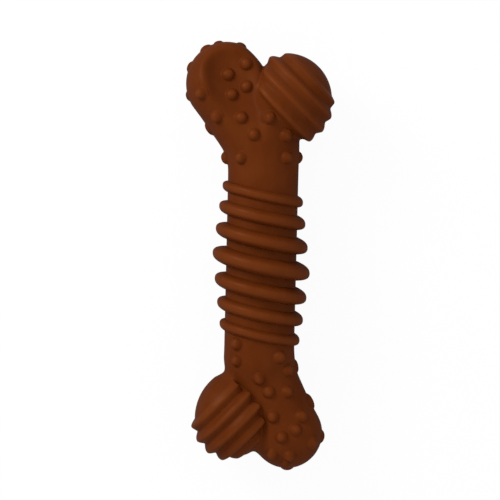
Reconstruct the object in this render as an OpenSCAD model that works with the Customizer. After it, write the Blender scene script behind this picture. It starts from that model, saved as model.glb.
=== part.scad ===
// Solid rubber chew bone: a round bar with slanting rings between two heads of two lobes each.
// X runs across the bone, Y along it towards the scooped head, and Z is up.
// The bone lies flat, with the foot of its tallest ring at Z = 0.

/* [Bar] */
// Radius of the round bar
bar_r = 14; // [12.5:0.5:15]
// Length of the bar between the two necks
bar_len = 72; // [70:1:80]

/* [Rings] */
// Height of the tallest ring above the bar
ring_h = 5.5; // [4.5:0.5:7]
// Width of the tallest ring at its foot
ring_w = 7.6; // [5:0.2:8.4]
// Distance from the tallest ring to the next one
ring_gap = 10; // [9:0.25:10.5]
// Slant of every ring across the bar, in degrees
ring_slant = 10.5; // [4:0.5:14]
// Distance of the tallest ring from the middle of the bar
ring_shift = 3.4; // [0:0.2:4]

/* [Scoop lobe] */
// Radius of the scoop lobe
scoop_lobe_r = 16; // [15:0.5:17]
// Distance of the lobe's middle to the side of the bar's axis
scoop_lobe_side = 15.2; // [14:0.2:16]
// Distance of the lobe's middle past the end of the bar
scoop_lobe_reach = 32; // [30:0.5:34]
// Radius of the scoop pressed into the lobe
scoop_r = 13.5; // [12:0.5:14.5]
// Height of the scoop's floor above the mould line, at its deep end
scoop_floor = 6.4; // [5:0.2:8]
// Distance of the scoop's deep end past the middle of the lobe
scoop_ahead = 8.3; // [6:0.1:9]
// Rise of the scoop's floor towards the bar, in degrees
scoop_rise = 15; // [12:0.5:18]
// Turn of the scoop towards the bar's axis, in degrees
scoop_turn = 12.5; // [8:0.5:16]

/* [Upper ribbed lobe] */
// Radius of the upper ribbed lobe over its ribs
upper_ball_r = 18.6; // [17:0.2:19.4]
// Distance of the lobe's middle to the side of the bar's axis
upper_ball_side = 9; // [8:0.2:10]
// Distance of the lobe's middle past the end of the bar
upper_ball_reach = 25.4; // [24:0.2:27]

/* [Lower ribbed lobe] */
// Radius of the lower ribbed lobe over its ribs
lower_ball_r = 17.8; // [16.4:0.2:18.6]
// Distance of the lobe's middle to the side of the bar's axis
lower_ball_side = 8.8; // [8:0.2:10]
// Distance of the lobe's middle past the end of the bar
lower_ball_reach = 29.8; // [28:0.2:31]

/* [Ribs] */
// Depth of the grooves between the ribs
rib_depth = 1.6; // [0.8:0.1:2.2]
// Angle from one rib to the next, in degrees
rib_step = 20; // [18:0.5:22]
// Step of the smooth cap below the ribs
cap_drop = 0.5; // [0.1:0.1:0.8]

/* [Nubbed lobe] */
// Radius of the nubbed lobe
nubbed_lobe_r = 14; // [13:0.5:15]
// Distance of the lobe's middle to the side of the bar's axis
nubbed_lobe_side = 11.9; // [11:0.1:13]
// Distance of the lobe's middle past the end of the bar
nubbed_lobe_reach = 35.7; // [34:0.1:37]

/* [Nubs] */
// Radius of a nub
nub_r = 2.4; // [1.8:0.1:2.8]
// Depth of a nub's centre under the surface
nub_sink = 0.6; // [0.2:0.1:1]
// Depth of the centre of a nub on the mould line, where the nubs are flatter
rim_sink = 1.2; // [0.8:0.1:1.6]

/* [Hidden] */
$fn = 120;
// How far a cutting form runs past what it cuts
overrun = 1;
// Turn that keeps the seam of the cylinder under the upper neck's nubs clear of them
seam_turn = 204;

half_bar = bar_len / 2;
scoop_at = [-scoop_lobe_side, half_bar + scoop_lobe_reach];
upper_ball_at = [upper_ball_side, half_bar + upper_ball_reach];
lower_ball_at = [-lower_ball_side, -half_bar - lower_ball_reach];
nubbed_at = [nubbed_lobe_side, -half_bar - nubbed_lobe_reach];

// Rings: their heights and gaps fall away on both sides of the tallest one
ring_height_shares = [1, 0.81, 0.6, 0.39];
ring_place_shares = [0, 1, 1.92, 2.76];
ring_profile_steps = 14;
ring_roundness = 0.8;

// Ribs: the latitude of the first rib, beside the smooth cap, and the number of ribs
upper_cap_angle = 43.5;
upper_ribs = 4;
upper_pole_turn = 46;
upper_pole_dip = 7;
lower_cap_angle = 33;
lower_ribs = 5;
lower_pole_turn = 136;
lower_pole_dip = 0;
rib_profile_steps = 6;

// Necks: the bar runs on under the lobes with a domed end, and a limb leads to each plain lobe
neck_dome_share = 0.85;
upper_straight_share = 1.5;
upper_limb_share = 0.42;
lower_straight_share = 1;
lower_limb_share = 0.6;
limb_start_share = 0.9;
limb_end_share = 0.94;

// Nubs on the faces, as shares of their lobe's radius from its middle
scoop_face_shares = [
    [0.03, 0.2], [0.46, 0.47], [0.45, -0.08], [0.14, -0.3], [-0.57, -0.28], [-0.24, -0.85], [0.38, -0.85]
];
nubbed_face_shares = [
    [-0.42, 0.61], [0.4, 0.59], [0.24, 0.25], [-0.16, 0.05], [0.7, -0.14], [-0.4, -0.48], [0.09, -0.5],
    [-0.02, -0.79]
];
// Nubs on the mould line, as angles round the lobe
scoop_rim_angles = [70, 103, 127, 158, 200];
nubbed_rim_angles = [-88, 0];
// Nubs on the flanks of the limbs, as shares of the way from the bar to the lobe
scoop_flank_shares = [0.6];
nubbed_flank_shares = [0.2, 0.7];
// Nubs on the necks: the way past the end of the bar, as a share of its radius, and the angle from the top
upper_neck_shares = [0.2, 0.22, 0.16, 0.21, 0.86, 0.84, 1.33];
upper_neck_angles = [-39, 40, -90, 100, -17, 37, 7];
lower_neck_shares = [-0.1, 0.39, 0.26, 0.65, 0.87, 1.24, 1.25];
lower_neck_angles = [-39, -39, 36, 54, 1, 17, 56];

// The frame: the middle of the whole bone's outline stands over the origin
function rim_at(at, r, a) = at + (r - rim_sink) * [cos(a), sin(a)];
scoop_rim = [for (a = scoop_rim_angles) rim_at(scoop_at, scoop_lobe_r, a)];
nubbed_rim = [for (a = nubbed_rim_angles) rim_at(nubbed_at, nubbed_lobe_r, a)];
left_edge = min([for (p = scoop_rim) p.x - nub_r]);
right_edge = max(upper_ball_at.x + upper_ball_r, max([for (p = nubbed_rim) p.x + nub_r]));
top_edge = max([for (p = scoop_rim) p.y + nub_r]);
bottom_edge = min([for (p = nubbed_rim) p.y - nub_r]);
axis_z = bar_r + ring_h;
frame_shift = [-(left_edge + right_edge) / 2, -(top_edge + bottom_edge) / 2, axis_z];

// Colours of the moulded rubber: its smooth zones, and those that stand up into the light
rubber = [0.35, 0.17, 0.07];
rubber_lit = [0.42, 0.21, 0.09];

// Lays a form that was modelled round the bar's own axis into the frame
module in_frame() {
    translate(frame_shift) children();
}

// A form of revolution round the bar's axis, its outline given along +Y from the origin
module round_bar_axis() {
    rotate([-90, 0, 0]) rotate_extrude() children();
}

module bar_form(from, to) {
    translate([0, from, 0]) rotate([-90, 0, 0]) cylinder(r = bar_r, h = to - from);
}

module bar() {
    color(rubber) in_frame() bar_form(-half_bar, half_bar);
}

// Place along the bar of ring number k, counted from the scooped head, with 4 as the tallest
function ring_place(k) = sign(4 - k) * ring_gap * ring_place_shares[abs(k - 4)] - ring_shift;

module ring_form(k) {
    share = ring_height_shares[abs(k - 4)];
    half_w = ring_w / 2 * sqrt(share);
    crown = [
        for (i = [0:ring_profile_steps])
            let (t = 90 - 180 * i / ring_profile_steps)
            [bar_r + ring_h * share * pow(abs(cos(t)), ring_roundness), half_w * sin(t)]
    ];
    foot = bar_r - overrun;
    translate([0, ring_place(k), 0]) rotate([0, 0, -ring_slant]) round_bar_axis()
        polygon(concat([[foot, -half_w], [foot, half_w]], crown));
}

module ring(k) {
    color(rubber_lit) in_frame() difference() {
        ring_form(k);
        bar_form(ring_place(k) - ring_gap, ring_place(k) + ring_gap);
    }
}

module ring_1() { ring(1); }
module ring_2() { ring(2); }
module ring_3() { ring(3); }
module ring_4() { ring(4); }
module ring_5() { ring(5); }
module ring_6() { ring(6); }
module ring_7() { ring(7); }

// Radius of a ribbed lobe at a latitude: rounded ribs with sharp grooves between them, then plain
function ribbed_radius(r, latitude, cap, ribs) =
    let (t = (cap - latitude) / rib_step)
    t < -0.5 ? r - cap_drop
    : t < 0 ? r + cap_drop * (cos(360 * t) - 1) / 2
    : t > ribs - 0.5 ? r - rib_depth
    : r - rib_depth * (1 - abs(cos(180 * t)));

// A ribbed lobe round its own pole, which is turned about Z and dips below the mould line
module ribbed_form(at, r, cap, ribs, turn, dip) {
    step = rib_step / rib_profile_steps;
    low = ceil((-90 - cap) / step) + 1;
    high = floor((90 - cap) / step) - 1;
    outline = [
        for (i = [low:high])
            let (latitude = cap + i * step, here = ribbed_radius(r, latitude, cap, ribs))
            here * [cos(latitude), sin(latitude)]
    ];
    poles = [[0, r - cap_drop], [0, rib_depth - r]];
    translate([at.x, at.y, 0]) rotate([0, 90 + dip, turn]) rotate_extrude()
        polygon(concat(outline, poles));
}

module upper_ball_form() {
    ribbed_form(upper_ball_at, upper_ball_r, upper_cap_angle, upper_ribs, upper_pole_turn, upper_pole_dip);
}

module lower_ball_form() {
    ribbed_form(lower_ball_at, lower_ball_r, lower_cap_angle, lower_ribs, lower_pole_turn, lower_pole_dip);
}

// The bar's run under a head: straight, then a dome
module neck_core(straight) {
    dome = neck_dome_share * bar_r;
    arc = [for (a = [0:10:90]) [bar_r * cos(a), straight + dome * sin(a)]];
    translate([0, half_bar, 0]) round_bar_axis() polygon(concat([[0, 0], [bar_r, 0]], arc));
}

// A limb from a point on the bar's axis to the middle of a lobe, and its radius on the way
function limb_radius(share, lobe_r) =
    bar_r * limb_start_share * (1 - share) + lobe_r * limb_end_share * share;
module limb(from, to, lobe_r) {
    way = to - from;
    translate([from.x, from.y, 0]) rotate([0, 90, atan2(way.y, way.x)])
        cylinder(r1 = bar_r * limb_start_share, r2 = lobe_r * limb_end_share, h = norm(way));
}

upper_limb_from = [0, half_bar + bar_r * upper_limb_share];
lower_limb_from = [0, -half_bar - bar_r * lower_limb_share];

module plain_lobe(at, r) {
    translate([at.x, at.y, 0]) sphere(r = r);
}

// The thumb-shaped scoop, pressed into both faces of its lobe
scoop_end = scoop_at + scoop_ahead * [sin(scoop_turn) / 2, 1];
scoop_end_z = scoop_floor + scoop_r;
scoop_len = scoop_lobe_reach + scoop_lobe_r;
module scoop_cut() {
    translate([scoop_end.x, scoop_end.y, scoop_end_z]) rotate([0, scoop_rise - 90, scoop_turn + 90]) {
        sphere(r = scoop_r);
        cylinder(r = scoop_r, h = scoop_len);
    }
}

module scoop_cuts() {
    scoop_cut();
    mirror([0, 0, 1]) scoop_cut();
}

module scoop_neck_form() {
    neck_core(bar_r * upper_straight_share);
    limb(upper_limb_from, scoop_at, scoop_lobe_r);
}

module lower_neck_form() {
    mirror([0, 1, 0]) neck_core(bar_r * lower_straight_share);
    limb(lower_limb_from, nubbed_at, nubbed_lobe_r);
}

module scoop_neck() {
    color(rubber) in_frame() difference() {
        scoop_neck_form();
        bar_form(0, half_bar);
        plain_lobe(scoop_at, scoop_lobe_r);
        upper_ball_form();
        scoop_cuts();
    }
}

module scoop_lobe() {
    color(rubber) in_frame() difference() {
        plain_lobe(scoop_at, scoop_lobe_r);
        upper_ball_form();
        scoop_cuts();
    }
}

module upper_ribbed_lobe() {
    color(rubber_lit) in_frame() upper_ball_form();
}

module lower_neck() {
    color(rubber) in_frame() difference() {
        lower_neck_form();
        bar_form(-half_bar, 0);
        plain_lobe(nubbed_at, nubbed_lobe_r);
        lower_ball_form();
    }
}

module lower_ribbed_lobe() {
    color(rubber_lit) in_frame() difference() {
        lower_ball_form();
        plain_lobe(nubbed_at, nubbed_lobe_r);
    }
}

module nubbed_lobe() {
    color(rubber) in_frame() plain_lobe(nubbed_at, nubbed_lobe_r);
}

// Height of a lobe, a limb, the bar and the scoop's floor over a point of the mould line's plane
function height_left(r, off) = off < r ? sqrt(r * r - off * off) : 0;
function lobe_z(p, at, r) = height_left(r, norm(p - at));
function limb_z(p, from, to, lobe_r) =
    let (way = to - from, t = (p - from) * way / (way * way), off = abs(cross(way, p - from)) / norm(way))
    t < 0 || t > 1 ? 0 : height_left(limb_radius(t, lobe_r), off);
function scoop_z(p) =
    let (
        run = p - scoop_end,
        along = [sin(scoop_turn), -cos(scoop_turn)],
        t = max(0, run * along),
        off = norm(run - t * along)
    )
    scoop_end_z + t * tan(scoop_rise) - height_left(scoop_r, off);

// One nub at a point of the surface, on the front and on the back
module nub_pair(p, z) {
    for (side = [-1, 1]) translate([p.x, p.y, side * (z - nub_sink)]) sphere(r = nub_r);
}

module nub_ring(places) {
    for (p = places) translate([p.x, p.y, 0]) sphere(r = nub_r);
}

// Nubs round the bar's axis near one end of the bar; each nub on the front has a twin on the back
module neck_nubs(shares, angles, end_side) {
    seat = bar_r - nub_sink;
    for (i = [0:len(shares) - 1]) {
        y = end_side * (half_bar + shares[i] * bar_r);
        turns = abs(angles[i]) < 90 ? [angles[i], 180 - angles[i]] : [angles[i]];
        for (a = turns) translate([seat * sin(a), y, seat * cos(a)]) sphere(r = nub_r);
    }
}

module scoop_face_nubs() {
    color(rubber_lit) in_frame() for (share = scoop_face_shares) {
        p = scoop_at + scoop_lobe_r * share;
        ground = max(lobe_z(p, scoop_at, scoop_lobe_r), limb_z(p, upper_limb_from, scoop_at, scoop_lobe_r));
        if (scoop_z(p) < ground) intersection() {
            nub_pair(p, scoop_z(p));
            scoop_cuts();
        }
        else difference() {
            nub_pair(p, ground);
            plain_lobe(scoop_at, scoop_lobe_r);
            limb(upper_limb_from, scoop_at, scoop_lobe_r);
        }
    }
}

// Nubs on the mould line round a plain lobe
module rim_nubs(places, at, r) {
    difference() {
        nub_ring(places);
        plain_lobe(at, r);
    }
}

// Nubs on the mould line along the flank of a limb, at shares of its length
module flank_nubs(shares, from, to, lobe_r) {
    way = to - from;
    side = [-way.y, way.x] / norm(way);
    nub_ring([for (share = shares) from + way * share + side * (limb_radius(share, lobe_r) - rim_sink)]);
}

module scoop_rim_nubs() {
    color(rubber_lit) in_frame() {
        rim_nubs(scoop_rim, scoop_at, scoop_lobe_r);
        difference() {
            flank_nubs(scoop_flank_shares, upper_limb_from, scoop_at, scoop_lobe_r);
            limb(upper_limb_from, scoop_at, scoop_lobe_r);
        }
    }
}

module scoop_neck_nubs() {
    color(rubber_lit) in_frame() difference() {
        neck_nubs(upper_neck_shares, upper_neck_angles, 1);
        rotate([0, seam_turn, 0]) bar_form(0, half_bar + bar_r * upper_straight_share);
        limb(upper_limb_from, scoop_at, scoop_lobe_r);
        upper_ball_form();
    }
}

module nubbed_face_nubs() {
    color(rubber_lit) in_frame() for (share = nubbed_face_shares) {
        p = nubbed_at + nubbed_lobe_r * share;
        lobe = lobe_z(p, nubbed_at, nubbed_lobe_r);
        difference() {
            nub_pair(p, max(lobe, limb_z(p, lower_limb_from, nubbed_at, nubbed_lobe_r)));
            plain_lobe(nubbed_at, nubbed_lobe_r);
            limb(lower_limb_from, nubbed_at, nubbed_lobe_r);
        }
    }
}

module nubbed_rim_nubs() {
    color(rubber_lit) in_frame() {
        rim_nubs(nubbed_rim, nubbed_at, nubbed_lobe_r);
        difference() {
            flank_nubs(nubbed_flank_shares, lower_limb_from, nubbed_at, nubbed_lobe_r);
            lower_neck_form();
        }
    }
}

module lower_neck_nubs() {
    color(rubber_lit) in_frame() difference() {
        neck_nubs(lower_neck_shares, lower_neck_angles, -1);
        bar_form(-half_bar, 0);
        lower_neck_form();
        lower_ball_form();
        ring_form(7);
    }
}

bar();
ring_1();
ring_2();
ring_3();
ring_4();
ring_5();
ring_6();
ring_7();
scoop_neck();
scoop_lobe();
upper_ribbed_lobe();
lower_neck();
lower_ribbed_lobe();
nubbed_lobe();
scoop_face_nubs();
scoop_rim_nubs();
scoop_neck_nubs();
nubbed_face_nubs();
nubbed_rim_nubs();
lower_neck_nubs();
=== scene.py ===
import math

import bpy
from mathutils import Matrix, Vector


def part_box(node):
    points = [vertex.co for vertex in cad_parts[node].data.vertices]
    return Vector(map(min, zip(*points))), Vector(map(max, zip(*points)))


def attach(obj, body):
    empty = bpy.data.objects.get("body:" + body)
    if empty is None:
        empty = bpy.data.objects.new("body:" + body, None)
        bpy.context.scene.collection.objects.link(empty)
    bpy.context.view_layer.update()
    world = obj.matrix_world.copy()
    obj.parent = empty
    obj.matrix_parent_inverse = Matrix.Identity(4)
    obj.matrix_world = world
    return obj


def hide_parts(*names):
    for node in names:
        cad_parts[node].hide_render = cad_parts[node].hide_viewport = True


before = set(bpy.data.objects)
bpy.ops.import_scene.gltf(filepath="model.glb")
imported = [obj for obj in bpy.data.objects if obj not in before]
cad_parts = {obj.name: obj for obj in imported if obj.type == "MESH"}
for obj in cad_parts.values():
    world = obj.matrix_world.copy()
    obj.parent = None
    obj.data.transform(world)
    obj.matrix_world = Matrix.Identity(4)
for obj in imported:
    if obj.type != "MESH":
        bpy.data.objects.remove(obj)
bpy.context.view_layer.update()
print("frame loaded:", len(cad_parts), "nodes")

mm = 0.001
barLow, barHigh = (Vector(corner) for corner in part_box("bar"))
barMiddle = (barLow + barHigh) / 2   # the whole bone is set out from the middle of its bar's axis
mouldLine = barMiddle.z              # height at which the two halves of the mould meet
barRadius = 14 * mm                  # the plain grip, which the body and its rings share


class Reading:
    # one socket of a node tree; an expression on it adds its Math nodes
    def __init__(self, tree, node, socket):
        self.tree = tree
        self.node = node
        self.socket = socket

    def of(self, name):
        return Reading(self.tree, self.node, openSocket(self.node.outputs, name))

    def maths(self, operation, *others):
        values = dict(enumerate((self, *others)))
        return self.tree.put("ShaderNodeMath", {"operation": operation}, values)

    def __add__(self, other):
        return self.maths("ADD", other)

    def __sub__(self, other):
        return self.maths("SUBTRACT", other)

    def __mul__(self, other):
        return self.maths("MULTIPLY", other)

    def __truediv__(self, other):
        return self.maths("DIVIDE", other)

    def __pow__(self, other):
        return self.maths("POWER", other)

    def __abs__(self):
        return self.maths("ABSOLUTE")

    def __rsub__(self, other):
        return self.maths("MULTIPLY_ADD", -1.0, other)

    def __rtruediv__(self, other):
        return self.tree.put("ShaderNodeMath", {"operation": "DIVIDE"}, {0: other, 1: self})

    __radd__ = __add__
    __rmul__ = __mul__

    def clamp(self, low, high):
        return self.maths("MAXIMUM", low).maths("MINIMUM", high)

    def ramp(self, low, high):
        # 0 at low, 1 at high, smooth between them
        span = {"Value": self, "From Min": low, "From Max": high}
        return self.tree.put("ShaderNodeMapRange", {"interpolation_type": "SMOOTHSTEP"}, span)


def openSocket(sockets, name):
    # a socket by its number, or by its name among those in use
    if isinstance(name, int):
        return sockets[name]
    for socket in sockets:
        if socket.name == name and not socket.is_unavailable:
            return socket
    raise KeyError(name)


class Tree:
    # a geometry or shader tree under construction
    def __init__(self, group):
        self.group = group

    def put(self, kind, settings=None, values=None, out=None):
        # one node: its settings first, then the values or links of its sockets
        node = self.group.nodes.new(kind)
        for name, value in (settings or {}).items():
            setattr(node, name, value)
        for name, value in (values or {}).items():
            socket = openSocket(node.inputs, name)
            if isinstance(value, Reading):
                self.group.links.new(value.socket, socket)
            else:
                socket.default_value = value
        if out is not None:
            return Reading(self, node, openSocket(node.outputs, out))
        shown = [socket for socket in node.outputs if not socket.is_unavailable]
        return Reading(self, node, shown[0]) if shown else node

    def vector(self, operation, first, second=None, scale=None):
        values = {0: first}
        if second is not None:
            values[1] = second
        if scale is not None:
            values["Scale"] = scale
        out = "Value" if operation in ("LENGTH", "DOT_PRODUCT", "DISTANCE") else "Vector"
        return self.put("ShaderNodeVectorMath", {"operation": operation}, values, out)

    def split(self, place):
        node = self.put("ShaderNodeSeparateXYZ", {}, {0: place})
        return node.of("X"), node.of("Y"), node.of("Z")

    def join(self, x, y, z):
        return self.put("ShaderNodeCombineXYZ", {}, {"X": x, "Y": y, "Z": z})

    def along(self, start, direction, distance):
        # the place at a distance from the start
        return self.vector("ADD", start, self.vector("SCALE", direction, scale=distance))

    def named(self, name, kind="FLOAT"):
        return self.put("GeometryNodeInputNamedAttribute", {"data_type": kind}, {"Name": name})

    def keep(self, geometry, name, value, kind="FLOAT"):
        # the same geometry with a value written on its points
        settings = {"data_type": kind, "domain": "POINT"}
        values = {"Geometry": geometry, "Name": name, "Value": value}
        return self.put("GeometryNodeStoreNamedAttribute", settings, values)


def newShapeTree(name, sockets):
    # a Geometry Nodes group whose named inputs are (name, kind, value)
    group = bpy.data.node_groups.new(name, "GeometryNodeTree")
    group.is_modifier = True
    group.interface.new_socket("Geometry", in_out="OUTPUT", socket_type="NodeSocketGeometry")
    group.interface.new_socket("Geometry", in_out="INPUT", socket_type="NodeSocketGeometry")
    for label, kind, value in sockets:
        socket = group.interface.new_socket(label, in_out="INPUT", socket_type="NodeSocket" + kind)
        if value is not None:
            socket.default_value = value
    tree = Tree(group)
    tree.inputs = tree.put("NodeGroupInput")
    return tree


def closeShapeTree(tree, geometry):
    shaded = tree.put("GeometryNodeSetShadeSmooth", {}, {0: geometry})
    realized = tree.put("GeometryNodeRealizeInstances", {}, {0: shaded})
    values = {"Geometry": realized, "Material": tree.inputs.of("Material")}
    finished = tree.put("GeometryNodeSetMaterial", {}, values)
    tree.put("NodeGroupOutput", {}, {"Geometry": finished})
    return tree.group


def growPiece(name, group, settings, startMesh=None):
    # runs a tree on an object and keeps its result as a plain mesh
    piece = bpy.data.objects.new(name, startMesh or bpy.data.meshes.new(name))
    bpy.context.scene.collection.objects.link(piece)
    modifier = piece.modifiers.new(name, "NODES")
    modifier.node_group = group
    for item in group.interface.items_tree:
        if item.in_out == "INPUT" and item.name in settings:
            modifier[item.identifier] = settings[item.name]
    bpy.context.view_layer.update()
    grown = piece.evaluated_get(bpy.context.evaluated_depsgraph_get())
    mesh = bpy.data.meshes.new_from_object(grown)
    piece.modifiers.clear()
    piece.data = mesh
    mesh.name = name
    print("  ", name, len(mesh.polygons), "faces")
    return piece


# Rubber: one compound throughout, with a satin skin from the mould
rubberLook = {
    "brown": (0.130, 0.0270, 0.0046),
    "darkBrown": (0.112, 0.0218, 0.0032),
    "paleBrown": (0.160, 0.0360, 0.0072),
    "clouds": {"size": 16 * mm, "detail": 3.0},   # patches where the compound flowed together
    "flow": {"size": 3.2 * mm, "detail": 4.0, "rough": 0.6, "stretch": (1.0, 0.45, 1.0)},
    "grain": {"size": 0.55 * mm, "detail": 3.0, "rough": 0.65},   # spark-eroded skin of the mould
    "specks": {"size": 0.9 * mm, "detail": 1.0},
    "cloudShare": 0.65,             # the clouds' part of the mottle, with the flow as the rest
    "mottleRange": (0.36, 0.64),    # noise over which dark brown turns into brown
    "speckRange": (0.70, 0.76),
    "speckShare": 0.4,
    "hollowShadeShare": 0.55,            # how far grooves and feet are darkened, as painted shade
    "crestHighlightShare": 0.35,             # how far crests are painted pale, as a painted highlight
    "crestFlow": 0.5,               # and how much further where the flow is strong
    "roughness": 0.40,
    "roughFlow": 0.10,
    "roughGrain": 0.08,
    "roughHollow": 0.08,
    "roughCrest": -0.05,
    "specular": 0.06,               # the satin skin mirrors little and warmly
    "sheenTint": (0.9, 0.6, 0.4),
    "grainDepth": 0.022 * mm,
    "rippleDepth": 0.10 * mm,       # slow waves that follow the clouds
    "seamWidth": 0.22 * mm,         # the mould line, to either side
    "seamCore": 0.2,                # share of that width at full height
    "seamHeight": 0.10 * mm,
}


def makeRubber(look):
    material = bpy.data.materials.new("satinBrownRubber")
    material.use_nodes = True
    material.node_tree.nodes.clear()
    tree = Tree(material.node_tree)
    place = tree.put("ShaderNodeTexCoord", out="Object")

    def noise(size, detail, rough=0.5, stretch=None):
        # a stretch below 1 draws the pattern out along that axis
        at = place
        if stretch:
            at = tree.put("ShaderNodeMapping", {}, {"Vector": place, "Scale": stretch})
        values = {"Vector": at, "Scale": 1 / size, "Detail": detail, "Roughness": rough}
        return tree.put("ShaderNodeTexNoise", {}, values, 0)

    def over(mask, under, colour):
        values = {"Factor": mask, "A": under, "B": (*colour, 1)}
        return tree.put("ShaderNodeMix", {"data_type": "RGBA"}, values, "Result")

    clouds = noise(**look["clouds"])
    flow = noise(**look["flow"])
    grain = noise(**look["grain"])
    specks = noise(**look["specks"]).ramp(*look["speckRange"])
    mottle = (clouds * look["cloudShare"] + flow * (1 - look["cloudShare"])).ramp(*look["mottleRange"])
    hollow = tree.put("ShaderNodeAttribute", {"attribute_name": "hollow"}, out="Fac")
    crest = tree.put("ShaderNodeAttribute", {"attribute_name": "crest"}, out="Fac")

    # painted highlight: the crests of ribs, rings and nubs turn pale brown
    paintedHighlight = crest * (look["crestHighlightShare"] + look["crestFlow"] * flow)
    colour = over(mottle, (*look["darkBrown"], 1), look["brown"])
    colour = over(paintedHighlight.clamp(0.0, 1.0), colour, look["paleBrown"])
    # painted shade: grooves and the feet of rings and nubs turn dark brown
    colour = over((hollow * look["hollowShadeShare"]).clamp(0.0, 1.0), colour, look["darkBrown"])
    colour = over(specks * look["speckShare"], colour, look["paleBrown"])

    rough = look["roughness"] + look["roughFlow"] * (flow - 0.5) + look["roughGrain"] * (grain - 0.5)
    rough = rough + look["roughHollow"] * hollow + look["roughCrest"] * crest

    up = tree.split(place)[2]
    seam = 1 - abs(up - mouldLine).ramp(look["seamCore"] * look["seamWidth"], look["seamWidth"])
    height = grain * look["grainDepth"] + clouds * look["rippleDepth"] + seam * look["seamHeight"]
    bump = tree.put("ShaderNodeBump", {}, {"Strength": 1.0, "Distance": 1.0, "Height": height})
    shader = tree.put("ShaderNodeBsdfPrincipled", {}, {
        "Base Color": colour,
        "Roughness": rough,
        "Normal": bump,
        "Specular IOR Level": look["specular"],
        "Specular Tint": (*look["sheenTint"], 1),
    })
    tree.put("ShaderNodeOutputMaterial", {}, {"Surface": shader})
    return material


rubber = makeRubber(rubberLook)
print("rubber mixed")


# Body: bar, necks and lobes in one skin without a joint, as the mould leaves them.
# Lengths are in mm from the middle of the bar, y towards the scooped head, and turns in degrees.
barEnds = (-41, 54)
scoopLimb = {"from": (-0.9, 41.6, 0), "to": (-15.5, 66.7, 0), "fromRadius": 12.5, "toRadius": 15.42}
nubbedLimb = {"from": (0.6, -43.7, 0), "to": (12.2, -71.2, 0), "fromRadius": 12, "toRadius": 13.2}
scoopLobe = {
    "middle": (-15.3, 68.4, 0),
    "radius": 15.7,
    "flatTurn": 44,      # its side towards the notch between the lobes is flatter
    "flatAt": 15.4,
}
scoopThumb = {
    "end": (-13.6, 76.3, 19.9),
    "rise": 15,
    "turn": 12.5,
    "length": 48,
    "wallAtEnd": 0.35,   # steepness of its right wall, low beside the notch and high by the neck
    "wallAtNeck": 1.5,
    "flatAtNeck": 5,     # width of flat floor before that wall
    "closesOver": 14,    # length over which the one turns into the other
    "creaseOver": 6,     # distance from its axis over which its right edge turns crisp
}
nubbedLobe = {"middle": (11.9, -71.7, 0), "radius": 13.9}
upperRibbedLobe = {
    "middle": (9, 61.6, 0),
    "radius": 18.6,
    "flat": 1.0,         # above 1, pressed flatter than round
    "poleTurn": 46,      # the way its smooth cap faces
    "capAngle": 42.5,    # where the cap ends, up from the lobe's equator
    "capMiddle": (8.4, 62.1, 0),
    "capRadius": 18.1,
    "ribs": 4,
    "ribStep": 19.5,
    "ribDepth": 1.3,
    "mouthDepth": 1.0,   # how much deeper a groove is where it meets the neck
    "ribEnd": 4.0,       # height above the neck over which a rib comes up
    "crestWidth": 0.75,  # below 1, wide crests and narrow grooves
    "fadeFrom": 4,       # from this rib on, each stands lower than the one before
    "fade": 0,
    "lastRib": 1,        # height of the last rib, as a share
    "notchFoot": 0,      # extra fillet at the last rib
}
lowerRibbedLobe = {
    "middle": (-8.8, -65.8, 0),
    "radius": 18.2,
    "flat": 1.06,
    "poleTurn": 136,
    "capAngle": 33,
    "capMiddle": (-4.2, -66.1, 0),
    "capRadius": 21,
    "ribs": 5,
    "ribStep": 20,
    "ribDepth": 1.9,
    "mouthDepth": 0.8,
    "ribEnd": 1.5,
    "crestWidth": 0.65,
    "fadeFrom": 2,
    "fade": 0.12,
    "lastRib": 0.4,
    "notchFoot": 6,
}
capSpans = {   # where something changes, counted in ribs on from the end of the cap
    "foot": (-0.5, 0.0),
    "tint": (-0.5, -0.3),
}
lastRibSpans = {   # the same, counted on from the end of the last rib
    "height": (-1.7, -1.3),
    "foot": (-1.6, -0.6),
    "tint": (-0.6, -0.4),
}
ribTint = {
    "skin": (0.1 * mm, 0.6 * mm),   # how near to the lobe's own skin
    "groove": (0.0, 0.4),           # height of the wave up to which a groove gets painted shade
    "crest": (0.75, 1.0),           # and from which a crest gets a painted highlight
}
bodySizes = {
    "Bar Radius": barRadius,
    "Neck Blend": 5 * mm,       # how softly a limb runs into the bar
    "Lobe Blend": 3 * mm,
    "Scoop Radius": 13.5 * mm,
    "Scoop Edge": 4.2 * mm,
    "Scoop Crease": 1.5 * mm,   # the same edge where the floor meets the neck, on the right
    "Groove Place": 0.42,       # where the groove lies between one crest and the next
    "Rib Foot": 1.1 * mm,       # fillet between the ribs and their neighbours
    "Cap Foot": 6 * mm,         # and between the smooth cap and its neighbours
    "Rib Mouth": 4.5 * mm,      # height above the neck over which the grooves deepen towards it
    "Voxel": 0.54 * mm,
}
bodyGrid = {
    "low": (-33, -88, -20),   # the block of voxels in which the skin is looked for
    "high": (29, 87, 20),
    "onSkin": 0.5,
    "beyond": -20.0,          # density outside the block
    "moves": 2,               # moves that bring each vertex onto the true skin
    "moveShare": 0.9,         # share of its distance that one move covers
}


def inMetres(place):
    return tuple(value * mm for value in place)


def ballField(tree, spot, middle, radius):
    return tree.vector("DISTANCE", spot, inMetres(middle)) - radius


def flatField(tree, spot, lobe):
    # the flatter side of a lobe, as the plane that cuts it
    turn = math.radians(lobe["flatTurn"])
    facing = Vector((math.cos(turn), math.sin(turn), 0))
    edge = Vector(inMetres(lobe["middle"])).dot(facing) + lobe["flatAt"] * mm
    return tree.vector("DOT_PRODUCT", spot, tuple(facing)) - edge


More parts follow.
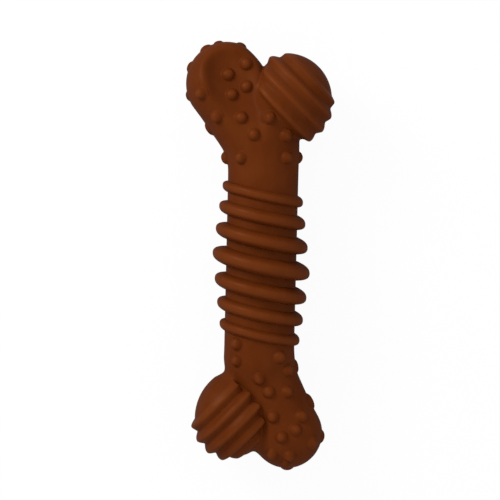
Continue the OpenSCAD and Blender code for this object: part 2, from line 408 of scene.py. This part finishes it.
def limbField(tree, spot, limb):
    # a round limb that widens evenly from one end to the other
    start = Vector(inMetres(limb["from"]))
    way = Vector(inMetres(limb["to"])) - start
    arm = tree.vector("SUBTRACT", spot, tuple(start))
    along = (tree.vector("DOT_PRODUCT", arm, tuple(way)) / way.length_squared).clamp(0.0, 1.0)
    onAxis = tree.vector("SCALE", tuple(way), scale=along)
    radius = limb["fromRadius"] * mm + along * ((limb["toRadius"] - limb["fromRadius"]) * mm)
    return tree.vector("DISTANCE", arm, onAxis) - radius


def scoopField(tree, spot, thumb, radius):
    # distance to the thumb-shaped hollow in both faces of the lobe, and 1 beside its crisp right edge
    x, y, z = tree.split(spot)
    folded = tree.join(x, y, abs(z))
    rise = math.radians(thumb["rise"])
    turn = math.radians(thumb["turn"])
    heading = Vector((math.sin(turn) * math.cos(rise), -math.cos(turn) * math.cos(rise), math.sin(rise)))
    aside = (math.cos(turn), math.sin(turn), 0)
    arm = tree.vector("SUBTRACT", folded, inMetres(thumb["end"]))
    along = tree.vector("DOT_PRODUCT", arm, tuple(heading)).clamp(0.0, thumb["length"] * mm)
    arm = tree.vector("SUBTRACT", arm, tree.vector("SCALE", tuple(heading), scale=along))
    closed = along.ramp(0.0, thumb["closesOver"] * mm)
    right = tree.vector("DOT_PRODUCT", arm, aside).maths("MAXIMUM", 0.0)
    wall = (right - closed * (thumb["flatAtNeck"] * mm)).maths("MAXIMUM", 0.0)
    wall = wall * (thumb["wallAtEnd"] + closed * (thumb["wallAtNeck"] - thumb["wallAtEnd"]))
    onRight = right.ramp(0.0, thumb["creaseOver"] * mm) * closed
    floor = tree.vector("SCALE", aside, scale=right - wall)
    return tree.vector("DISTANCE", arm, floor) - radius, onRight


def ribWave(tree, spot, lobe, groove):
    # 1 on a rib's crest and 0 in a groove, the ribs passed since the cap, and the distance to the middle
    turn = math.radians(lobe["poleTurn"])
    pole = (math.cos(turn), math.sin(turn), 0)
    arm = tree.vector("SUBTRACT", spot, inMetres(lobe["middle"]))
    arm = tree.vector("MULTIPLY", arm, (1, 1, lobe["flat"]))
    far = tree.vector("LENGTH", arm)
    latitude = (tree.vector("DOT_PRODUCT", arm, pole) / far).maths("ARCSINE")
    count = (math.radians(lobe["capAngle"]) - latitude) / math.radians(lobe["ribStep"])
    skew = math.log(0.5) / groove.maths("LOGARITHM", math.e)   # moves the groove off the middle
    wave = 0.5 + 0.5 * (count.maths("FRACT") ** skew * (2 * math.pi)).maths("COSINE")
    wave = wave.maths("MAXIMUM", 0.0) ** lobe["crestWidth"]
    ended = count.maths("GREATER_THAN", lobe["ribs"] - 1 + groove)   # past the last groove
    return wave.maths("MAXIMUM", count.maths("LESS_THAN", 0.0)) * (1 - ended), count, far


def pastLastRib(lobe, count, name):
    # 0 before the named span at the lobe's last rib and 1 after it
    low, high = lastRibSpans[name]
    return count.ramp(lobe["ribs"] + low, lobe["ribs"] + high)


def ribbedField(tree, spot, lobe, size, neck):
    # a ribbed lobe with its smooth cap, and the fillet that it meets its neighbours with
    wave, count, far = ribWave(tree, spot, lobe, size("Groove Place"))
    wave = wave * neck.ramp(0.0, lobe["ribEnd"] * mm)
    wave = wave * (1 - pastLastRib(lobe, count, "height") * (1 - lobe["lastRib"]))
    mouth = 1 - (neck / size("Rib Mouth")).ramp(0.0, 1.0)
    depth = mouth * (lobe["mouthDepth"] * mm) + lobe["ribDepth"] * mm
    ball = far - lobe["radius"] * mm
    cap = tree.vector("DISTANCE", spot, inMetres(lobe["capMiddle"])) - lobe["capRadius"] * mm
    cap = cap.maths("MAXIMUM", ball)
    faded = (count - lobe["fadeFrom"]).maths("MAXIMUM", 0.0) ** 2 * (lobe["fade"] * mm)
    ribs = ball + (1 - wave) * depth + faded
    onCap = 1 - count.ramp(*capSpans["foot"])
    foot = size("Rib Foot") + onCap * (size("Cap Foot") - size("Rib Foot"))
    foot = foot + pastLastRib(lobe, count, "foot") * (lobe["notchFoot"] * mm)
    return ribs + onCap * (cap - ribs), foot


def moulding(tree, spot):
    # signed distance to the skin of the whole body, below zero inside
    size = tree.inputs.of
    bar = {"from": (0, barEnds[0], 0), "to": (0, barEnds[1], 0), "fromRadius": 0, "toRadius": 0}
    skin = limbField(tree, spot, bar) - size("Bar Radius")
    skin = skin.maths("SMOOTH_MIN", limbField(tree, spot, scoopLimb), size("Neck Blend"))
    scooped = ballField(tree, spot, scoopLobe["middle"], scoopLobe["radius"] * mm)
    skin = skin.maths("SMOOTH_MIN", scooped, size("Lobe Blend"))
    skin = skin.maths("SMOOTH_MAX", flatField(tree, spot, scoopLobe), size("Lobe Blend"))
    hollow, onRight = scoopField(tree, spot, scoopThumb, size("Scoop Radius"))
    edge = size("Scoop Edge") + onRight * (size("Scoop Crease") - size("Scoop Edge"))
    skin = skin.maths("SMOOTH_MAX", hollow * -1, edge)
    skin = skin.maths("SMOOTH_MIN", limbField(tree, spot, nubbedLimb), size("Neck Blend"))
    nubbed = ballField(tree, spot, nubbedLobe["middle"], nubbedLobe["radius"] * mm)
    skin = skin.maths("SMOOTH_MIN", nubbed, size("Lobe Blend"))
    upper, foot = ribbedField(tree, spot, upperRibbedLobe, size, skin)
    skin = skin.maths("SMOOTH_MIN", upper, foot)
    lower, foot = ribbedField(tree, spot, lowerRibbedLobe, size, skin)
    return skin.maths("SMOOTH_MIN", lower, foot), upper, lower


def bodyTree():
    sockets = [(name, "Float", value) for name, value in bodySizes.items()]
    tree = newShapeTree("mouldedBody", sockets + [("Material", "Material", None)])
    voxel = tree.inputs.of("Voxel")
    place = tree.put("GeometryNodeInputPosition")
    spot = tree.vector("SUBTRACT", place, tuple(barMiddle))
    skin, upper, lower = moulding(tree, spot)
    low, high = (barMiddle + Vector(inMetres(bodyGrid[end])) for end in ("low", "high"))
    density = bodyGrid["onSkin"] - skin / voxel
    values = {"Density": density, "Background": bodyGrid["beyond"], "Min": tuple(low), "Max": tuple(high)}
    for i, axis in enumerate("XYZ"):
        values["Resolution " + axis] = ((high[i] - low[i]) / voxel).maths("ROUND")
    block = tree.put("GeometryNodeVolumeCube", {}, values)
    values = {"Volume": block, "Threshold": bodyGrid["onSkin"]}
    mesh = tree.put("GeometryNodeVolumeToMesh", {"resolution_mode": "GRID"}, values)
    normal = tree.put("GeometryNodeInputNormal")
    for i in range(bodyGrid["moves"]):
        move = tree.vector("SCALE", normal, scale=skin * -bodyGrid["moveShare"])
        mesh = tree.put("GeometryNodeSetPosition", {}, {"Geometry": mesh, "Offset": move})
    # painted shade in the grooves and a painted highlight on the crests of the ribbed lobes
    hollow = 0
    crest = 0
    for lobe, field in ((upperRibbedLobe, upper), (lowerRibbedLobe, lower)):
        wave, count = ribWave(tree, spot, lobe, tree.inputs.of("Groove Place"))[:2]
        here = 1 - abs(field).ramp(*ribTint["skin"])
        here = here * count.ramp(*capSpans["tint"]) * (1 - pastLastRib(lobe, count, "tint"))
        hollow = here * (1 - wave.ramp(*ribTint["groove"])) + hollow
        crest = here * wave.ramp(*ribTint["crest"]) + crest
    mesh = tree.keep(mesh, "hollow", hollow)
    mesh = tree.keep(mesh, "crest", crest)
    return closeShapeTree(tree, mesh)


print("growing the body")
body = growPiece("mouldedBody", bodyTree(), {**bodySizes, "Material": rubber})
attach(body, "root")
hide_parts("bar", "scoop_neck", "scoop_lobe", "upper_ribbed_lobe", "lower_neck", "lower_ribbed_lobe",
            "nubbed_lobe")


# Rings: seven closed rings on one slant, tallest in the middle, each with a soft foot on the bar
ringSizes = {
    "Bar Radius": barRadius,
    "Tallest": 5.53 * mm,
    "Half Width": 3.25 * mm,
    "Width Power": 0.5,      # a ring half as tall is 0.5 ** 0.5 as wide
    "Foot Flare": 0.14,
    "Flare Power": 3.0,
    "Side Power": 0.85,      # with this and the next at 1 the section is a plain half ellipse
    "Top Power": 0.84,
    "Slant": 0.195,          # along the bar for each step across it
    "Sink": 0.06 * mm,       # the whole ring sits this much deeper
    "Bury": 1.0 * mm,        # depth of the closed underside below the bar's skin
}
ringPlaces = (24.2, 15.8, 6.6, -3.4, -13.4, -22.6, -31.0)   # mm along the bar from its middle
ringHeights = (0.39, 0.6, 0.81, 1.0, 0.81, 0.6, 0.39)
ringSteps = {"round": 220, "across": 44}
# painted highlight on each ring's top and painted shade at its foot
ringTint = {"crest": (0.8, 1.0), "foot": (0.0, 0.3), "footShare": 0.6}


def tintByHeight(tree, geometry, height, tint):
    # paints a highlight on the crest and shade at the foot, with height from 0 at the foot to 1 at the
    # top
    foot = (1 - height.ramp(*tint["foot"])) * tint["footShare"]
    geometry = tree.keep(geometry, "crest", height.ramp(*tint["crest"]))
    return tree.keep(geometry, "hollow", foot)


def ringTree():
    sockets = [(name, "Float", value) for name, value in ringSizes.items()]
    sockets += [("Place", "Float", 0.0), ("Share", "Float", 1.0), ("Material", "Material", None)]
    tree = newShapeTree("slantedRing", sockets)
    size = tree.inputs.of
    share = size("Share")
    turns = tree.put("GeometryNodeSplineParameter", out="Factor")
    circles = []
    for name, steps in ringSteps.items():
        circle = tree.put("GeometryNodeCurvePrimitiveCircle", {}, {"Resolution": steps})
        circles.append(tree.keep(circle, name, turns))
    tube = tree.put("GeometryNodeCurveToMesh", {}, {"Curve": circles[0], "Profile Curve": circles[1]})
    tube = tree.put("GeometryNodeFlipFaces", {}, {"Mesh": tube})   # the new places turn it inside out
    angle = tree.named("round") * (2 * math.pi)
    bend = tree.named("across") * (2 * math.pi)
    rise = bend.maths("SINE")
    side = bend.maths("COSINE")
    top = rise.maths("MAXIMUM", 0.0)
    under = rise.maths("MINIMUM", 0.0)
    halfWidth = size("Half Width") * share ** size("Width Power")
    flare = 1 + size("Foot Flare") * (1 - top) ** size("Flare Power")
    across = halfWidth * flare * side.maths("SIGN") * abs(side) ** size("Side Power")
    lift = size("Tallest") * share * top ** size("Top Power") + under * size("Bury") - size("Sink")
    radius = size("Bar Radius") + lift
    x = radius * angle.maths("COSINE")
    z = radius * angle.maths("SINE")
    y = size("Place") + across - x * size("Slant")
    spot = tree.vector("ADD", tree.join(x, y, z), tuple(barMiddle))
    ring = tree.put("GeometryNodeSetPosition", {}, {"Geometry": tube, "Position": spot})
    return closeShapeTree(tree, tintByHeight(tree, ring, top, ringTint))


print("growing the rings")
ringGroup = ringTree()
for number, (place, share) in enumerate(zip(ringPlaces, ringHeights), 1):
    settings = {**ringSizes, "Place": place * mm, "Share": share, "Material": rubber}
    ring = growPiece("ring" + str(number), ringGroup, settings)
    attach(ring, "root")
    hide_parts("ring_" + str(number))


# Nubs: round buttons with a soft foot, seated on the skin wherever a ray from outside meets it
nubShape = {
    "radius": 2.7 * mm,
    "sink": 0.6 * mm,         # depth of the button's centre under the skin
    "foot": 0.7 * mm,         # radius of the fillet at its foot
    "skirt": 0.18 * mm,       # thin edge beyond the foot, just under the skin
    "skirtDrop": 0.05 * mm,
    "bury": 0.9 * mm,
    "bottomShare": 0.5,       # ring of the closed underside, as a share of the foot's reach
    "segments": 28,
    "domeSteps": 9,
    "footSteps": 5,
    "rimHeight": 0.5,         # height of the nubs on the mould line, as a share of the others'
    "spread": 0.04,           # how much the widths differ
    "seed": 7,
}
# painted highlight on each nub's top and painted shade at its foot
nubTint = {"crest": (0.7, 1.0), "foot": (0.0, 0.3), "footShare": 0.7}
nubSeating = {
    "faceStart": 40,          # mm from the bone's middle plane or axis to the start of a ray
    "edgeStart": 30,          # and out from the axis of a limb
    "rayLength": 60 * mm,
    "hover": 2.5 * mm,        # height above its seat from which a nub's vertex looks for the skin
    "lookLength": 12 * mm,
    "lowest": -0.6 * mm,      # it doesn't follow the skin over an edge
    "highest": 0.7 * mm,      # or up a wall
}


def nubForm(shape):
    # outline of one button turned round its own axis, closed below the skin
    radius = shape["radius"]
    sink = shape["sink"]
    foot = shape["foot"]
    reach = math.sqrt((radius + foot) ** 2 - (sink + foot) ** 2)
    lean = math.asin(reach / (radius + foot))
    outline = []
    for i in range(1, shape["domeSteps"] + 1):
        angle = lean * i / shape["domeSteps"]
        outline.append((radius * math.sin(angle), radius * math.cos(angle) - sink))
    for i in range(1, shape["footSteps"] + 1):
        angle = lean * (1 - i / shape["footSteps"])
        outline.append((reach - foot * math.sin(angle), foot - foot * math.cos(angle)))
    outline.append((reach + shape["skirt"], -shape["skirtDrop"]))
    outline.append((reach, -shape["bury"]))
    outline.append((reach * shape["bottomShare"], -shape["bury"]))
    turns = shape["segments"]
    points = [(0, 0, radius - sink)]
    for out, up in outline:
        for k in range(turns):
            angle = 2 * math.pi * k / turns
            points.append((out * math.cos(angle), out * math.sin(angle), up))
    points.append((0, 0, -shape["bury"]))
    faces = []
    last = len(outline) - 1
    for k in range(turns):
        after = (k + 1) % turns
        faces.append((0, 1 + k, 1 + after))
        faces.append((len(points) - 1, 1 + last * turns + after, 1 + last * turns + k))
        for row in range(last):
            upper = 1 + row * turns
            lower = upper + turns
            faces.append((upper + k, lower + k, lower + after, upper + after))
    mesh = bpy.data.meshes.new("nubForm")
    mesh.from_pydata(points, [], faces)
    return bpy.data.objects.new("nubForm", mesh)


def nubTree():
    # seats the buttons, then lets each of their vertices down onto the skin below it
    tree = newShapeTree("nubsOnSkin", [
        ("Skin", "Object", None), ("Nub", "Object", None), ("Height Share", "Float", 1.0),
        ("Size Spread", "Float", nubShape["spread"]), ("Seed", "Int", nubShape["seed"]),
        ("Material", "Material", None),
    ])
    size = tree.inputs.of
    skin = tree.put("GeometryNodeObjectInfo", {}, {"Object": size("Skin")}, "Geometry")
    nub = tree.put("GeometryNodeObjectInfo", {}, {"Object": size("Nub")}, "Geometry")
    aim = tree.named("aim", "FLOAT_VECTOR")
    ray = {"Target Geometry": skin, "Ray Direction": aim, "Ray Length": nubSeating["rayLength"]}
    landing = tree.put("GeometryNodeRaycast", {}, ray, "Hit Position")
    seats = tree.keep(size("Geometry"), "lean", landing.of("Hit Normal"), "FLOAT_VECTOR")
    seats = tree.keep(seats, "seat", landing, "FLOAT_VECTOR")
    seat = tree.named("seat", "FLOAT_VECTOR")
    lean = tree.named("lean", "FLOAT_VECTOR")
    seats = tree.put("GeometryNodeSetPosition", {}, {"Geometry": seats, "Position": seat})

    turn = tree.put("FunctionNodeAlignRotationToVector", {"axis": "Z"}, {"Vector": lean})
    spread = size("Size Spread")
    values = {"Min": 1 - spread, "Max": 1 + spread, "Seed": size("Seed")}
    width = tree.named("width") * tree.put("FunctionNodeRandomValue", {"data_type": "FLOAT"}, values)
    scale = tree.join(width, width, width * size("Height Share"))
    values = {"Points": seats, "Instance": nub, "Rotation": turn, "Scale": scale}
    nubs = tree.put("GeometryNodeInstanceOnPoints", {}, values)
    nubs = tree.put("GeometryNodeRealizeInstances", {}, {0: nubs})

    place = tree.put("GeometryNodeInputPosition")
    height = tree.vector("DOT_PRODUCT", tree.vector("SUBTRACT", place, seat), lean)
    flat = tree.vector("SUBTRACT", place, tree.vector("SCALE", lean, scale=height))
    ray = {
        "Target Geometry": skin,
        "Source Position": tree.along(flat, lean, nubSeating["hover"]),
        "Ray Direction": tree.vector("SCALE", lean, scale=-1.0),
        "Ray Length": nubSeating["lookLength"],
    }
    met = tree.put("GeometryNodeRaycast", {}, ray, "Is Hit")
    ground = tree.vector("DOT_PRODUCT", tree.vector("SUBTRACT", met.of("Hit Position"), flat), lean) * met
    ground = ground.clamp(nubSeating["lowest"], nubSeating["highest"])
    spot = tree.along(flat, lean, height + ground)
    nubs = tree.put("GeometryNodeSetPosition", {}, {"Geometry": nubs, "Position": spot})
    rate = height / (nubShape["radius"] - nubShape["sink"])
    return closeShapeTree(tree, tintByHeight(tree, nubs, rate, nubTint))


# The next three give rays as (start, aim, width). A place's third number is its width, as a share.
def onFaces(places):
    # a nub on the front and its twin on the back, each met by a ray along Z
    rays = []
    for side in (1, -1):
        for x, y, *width in places:
            start = (x, y, nubSeating["faceStart"] * side)
            rays.append((start, (0, 0, -side), width[0] if width else 1))
    return rays


def onEdge(places, limb):
    # a nub on the mould line, met by a ray towards the nearest point of the limb's own axis
    rays = []
    root = Vector(limb["from"])
    way = Vector(limb["to"]) - root
    for x, y, *width in places:
        tip = Vector((x, y, 0))
        along = max(0.0, min(1.0, (tip - root).dot(way) / way.length_squared))
        out = (tip - root - way * along).normalized()
        start = root + way * along + out * nubSeating["edgeStart"]
        rays.append((tuple(start), tuple(-out), width[0] if width else 1))
    return rays


def roundBar(places):
    # a nub on the side of the bar, at a distance along it and an angle from the top
    rays = []
    for y, angle in places:
        out = Vector((math.sin(math.radians(angle)), 0, math.cos(math.radians(angle))))
        start = out * nubSeating["faceStart"] + Vector((0, y, 0))
        rays.append((tuple(start), tuple(-out), 1))
    return rays


nubGroups = {
    "scoopFaceNubs": ("scoop_face_nubs", onFaces([
        (-14.8, 71.1), (-7.8, 75.5), (-7.4, 66.6), (-13.0, 63.3), (-25.2, 63.4, 0.95), (-18.9, 54.4),
        (-9.1, 54.5),
    ])),
    "scoopNeckNubs": ("scoop_neck_nubs", onFaces([
        (-4.0, 48.0), (1.7, 54.7), (8.5, 47.8), (-8.9, 38.8), (9.1, 39.2),
    ]) + roundBar([(38.2, -90), (38.9, 107)])),
    "scoopRimNubs": ("scoop_rim_nubs", onEdge([
        (-19.2, 84.5, 0.72), (-24.7, 82.4), (-9.3, 84.0, 0.8), (-30.9, 74.4, 0.86), (-30.9, 62.1, 0.8),
        (-23.0, 48.7, 1.12),
    ], scoopLimb)),
    "nubbedFaceNubs": ("nubbed_face_nubs", onFaces([
        (6.0, -63.1), (17.5, -63.2), (15.2, -68.1), (9.7, -71.0), (21.8, -73.7), (6.3, -78.4),
        (13.1, -78.8), (11.6, -82.3, 0.8),
    ])),
    "nubbedRimNubs": ("nubbed_rim_nubs", onEdge([
        (15.6, -44.2), (22.4, -57.9, 1.3), (26.6, -72.9), (12.4, -86.6),
    ], nubbedLimb)),
    "lowerNeckNubs": ("lower_neck_nubs", onFaces([
        (-8.9, -34.7), (-8.8, -41.4), (8.2, -39.6), (11.5, -45.1), (0.3, -48.2), (4.2, -53.3),
        (11.7, -53.5),
    ])),
}


def seatMesh(name, rays):
    # a point at the start of each ray, which carries its aim and the width of its nub
    mesh = bpy.data.meshes.new(name + "Seats")
    mesh.from_pydata([tuple(Vector(inMetres(start)) + barMiddle) for start, aim, width in rays], [], [])
    mesh.attributes.new("aim", "FLOAT_VECTOR", "POINT")
    mesh.attributes.new("width", "FLOAT", "POINT")
    for i, (start, aim, width) in enumerate(rays):
        mesh.attributes["aim"].data[i].vector = aim
        mesh.attributes["width"].data[i].value = width
    return mesh


print("growing the nubs")
nubGroup = nubTree()
nubMaster = nubForm(nubShape)
for i, (name, (node, rays)) in enumerate(nubGroups.items()):
    settings = {
        "Skin": body,
        "Nub": nubMaster,
        "Height Share": nubShape["rimHeight"] if "Rim" in name else 1.0,
        "Seed": nubShape["seed"] + i,
        "Material": rubber,
    }
    nubs = growPiece(name, nubGroup, settings, seatMesh(name, rays))
    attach(nubs, "root")
    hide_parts(node)
bpy.data.objects.remove(nubMaster)


# Studio: pale floor under the bone, soft lamp from the upper left of the photograph, even fill
studio = {
    "keyFrom": (-0.65, 0.57, 0.51),   # direction of the lamp, seen from the bone
    "keyAway": 0.75,
    "keySize": 0.36,
    "keyPower": 3.1,
    "fill": 0.68,
    "floorSize": 4.0,
    "floorPaint": 0.24,               # grey of the floor, which sends light back up
    "floorGlow": 0.733,               # share of the floor that the camera sees as plain white
    "floorWhite": 1.284,
}


def makeFloor(look):
    half = look["floorSize"] / 2
    corners = [(-half, -half, 0), (half, -half, 0), (half, half, 0), (-half, half, 0)]
    mesh = bpy.data.meshes.new("paleFloor")
    mesh.from_pydata(corners, [], [(0, 1, 2, 3)])
    floor = bpy.data.objects.new("paleFloor", mesh)
    bpy.context.scene.collection.objects.link(floor)
    material = bpy.data.materials.new("palePaper")
    material.use_nodes = True
    material.node_tree.nodes.clear()
    tree = Tree(material.node_tree)
    seen = tree.put("ShaderNodeLightPath", out="Is Camera Ray")
    paint = tree.put("ShaderNodeBsdfDiffuse", {}, {"Color": (look["floorPaint"],) * 3 + (1,)})
    white = tree.put("ShaderNodeEmission", {}, {"Color": (1, 1, 1, 1), "Strength": look["floorWhite"]})
    mixed = tree.put("ShaderNodeMixShader", {}, {0: seen * look["floorGlow"], 1: paint, 2: white})
    tree.put("ShaderNodeOutputMaterial", {}, {"Surface": mixed})
    floor.data.materials.append(material)


def makeWorld(look):
    world = bpy.data.worlds.new("evenFill")
    world.use_nodes = True
    world.node_tree.nodes.clear()
    tree = Tree(world.node_tree)
    seen = tree.put("ShaderNodeLightPath", out="Is Camera Ray")
    strength = look["fill"] + seen * (1 - look["fill"])
    sky = tree.put("ShaderNodeBackground", {}, {"Color": (1, 1, 1, 1), "Strength": strength})
    tree.put("ShaderNodeOutputWorld", {}, {"Surface": sky})
    bpy.context.scene.world = world


def makeKey(look):
    lamp = bpy.data.lights.new("softKey", "AREA")
    lamp.shape = "DISK"
    lamp.size = look["keySize"]
    lamp.energy = look["keyPower"]
    key = bpy.data.objects.new("softKey", lamp)
    bpy.context.scene.collection.objects.link(key)
    away = Vector(look["keyFrom"]).normalized() * look["keyAway"]
    key.location = barMiddle + away
    key.rotation_euler = away.to_track_quat("Z", "Y").to_euler()


# Camera: almost straight above, leaning towards the scooped head, as in the photograph
shot = {
    "distance": 0.787,
    "lean": 4.75,      # degrees, as is the roll
    "roll": 1.36,
    "lens": 142.0,
    "sensor": 36,
    "aside": -0.818,   # where the picture's middle lies from the bar's middle, in mm on the sensor
    "above": 0.324,
}


def makeCamera(look):
    lean = math.radians(look["lean"])
    roll = math.radians(look["roll"])
    towards = Vector((0, math.sin(lean), math.cos(lean)))
    level = Vector((1, 0, 0))
    upright = Vector((0, math.cos(lean), -math.sin(lean)))
    right = level * math.cos(roll) + upright * math.sin(roll)
    up = upright * math.cos(roll) - level * math.sin(roll)
    ahead = (right * look["aside"] + up * look["above"] - towards * look["lens"]).normalized()
    right = (right - ahead * right.dot(ahead)).normalized()
    up = right.cross(ahead)
    turned = Matrix((right, up, -ahead)).transposed().to_4x4()
    lens = bpy.data.cameras.new("shot")
    lens.lens = look["lens"]
    lens.sensor_width = look["sensor"]
    camera = bpy.data.objects.new("shot", lens)
    bpy.context.scene.collection.objects.link(camera)
    camera.matrix_world = Matrix.Translation(barMiddle + towards * look["distance"]) @ turned
    bpy.context.scene.camera = camera


makeFloor(studio)
makeWorld(studio)
makeKey(studio)
makeCamera(shot)
bpy.context.scene.view_settings.view_transform = "Standard"
print("studio set")

bpy.context.view_layer.update()
